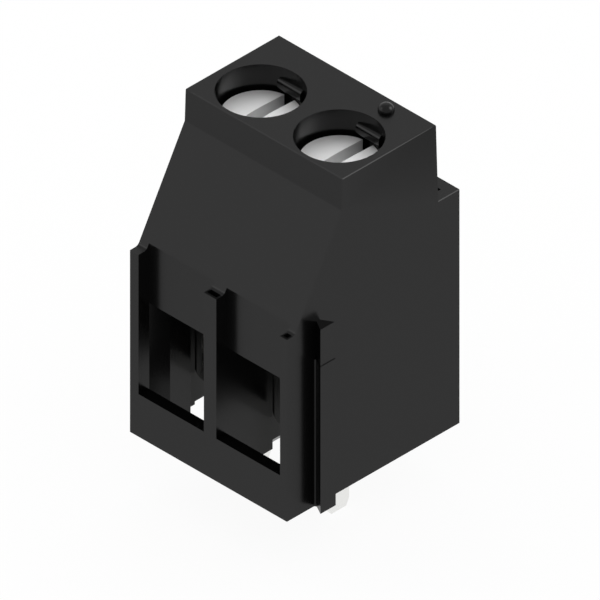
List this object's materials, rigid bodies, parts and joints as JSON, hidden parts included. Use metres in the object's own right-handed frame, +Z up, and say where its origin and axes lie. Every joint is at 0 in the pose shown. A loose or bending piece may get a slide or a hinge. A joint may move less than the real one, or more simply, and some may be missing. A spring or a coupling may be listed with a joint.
{
  "type": "pcb screw terminal",
  "caption": "Board screw terminal: tall black housing with slanted front, low wire entries, slotted clamp screws in top wells, rising clamp cages, flat solder pins and a dovetail tongue.",
  "frame": {"origin": "on the board plane, midway between the two poles, on the line of the solder pins", "axes": "+Z up from the board, +Y to the back, away from the wire entries, +X to the right seen from the wire entries"},
  "size_m": [0.0108, 0.0112, 0.0209],
  "materials": {
    "housing_plastic": "smooth moulded polyamide",
    "screw_steel": "zinc plated",
    "yoke_steel": "nickel plated",
    "tinned_copper_alloy": "tin plated"
  },
  "bodies": {
    "housing_body": {"housing": "housing_plastic", "current_bar_left": "tinned_copper_alloy", "current_bar_right": "tinned_copper_alloy"},
    "screw_left": {"clamp_screw_left": "screw_steel"},
    "screw_right": {"clamp_screw_right": "screw_steel"},
    "yoke_left": {"clamping_yoke_left": "yoke_steel"},
    "yoke_right": {"clamping_yoke_right": "yoke_steel"}
  },
  "joints": [
    {"name": "screw_left_turn", "type": "hinge", "parent": "housing_body", "child": "screw_left", "pos_m": [-0.00254, 0.00033, 0.0161], "axis": [0, 0, -1], "range_deg": [0, 2304]},
    {"name": "screw_right_turn", "type": "hinge", "parent": "housing_body", "child": "screw_right", "pos_m": [0.00254, 0.00033, 0.0161], "axis": [0, 0, -1], "range_deg": [0, 2304]},
    {"name": "yoke_left_rise", "type": "slide", "parent": "housing_body", "child": "yoke_left", "axis": [0, 0, 1], "range_m": [0, 0.0032]},
    {"name": "yoke_right_rise", "type": "slide", "parent": "housing_body", "child": "yoke_right", "axis": [0, 0, 1], "range_m": [0, 0.0032]}
  ],
  "couplings": [
    {"joint": "screw_left_turn", "follows": "yoke_left_rise", "rad_per_m": 12566},
    {"joint": "screw_right_turn", "follows": "yoke_right_rise", "rad_per_m": 12566}
  ]
}
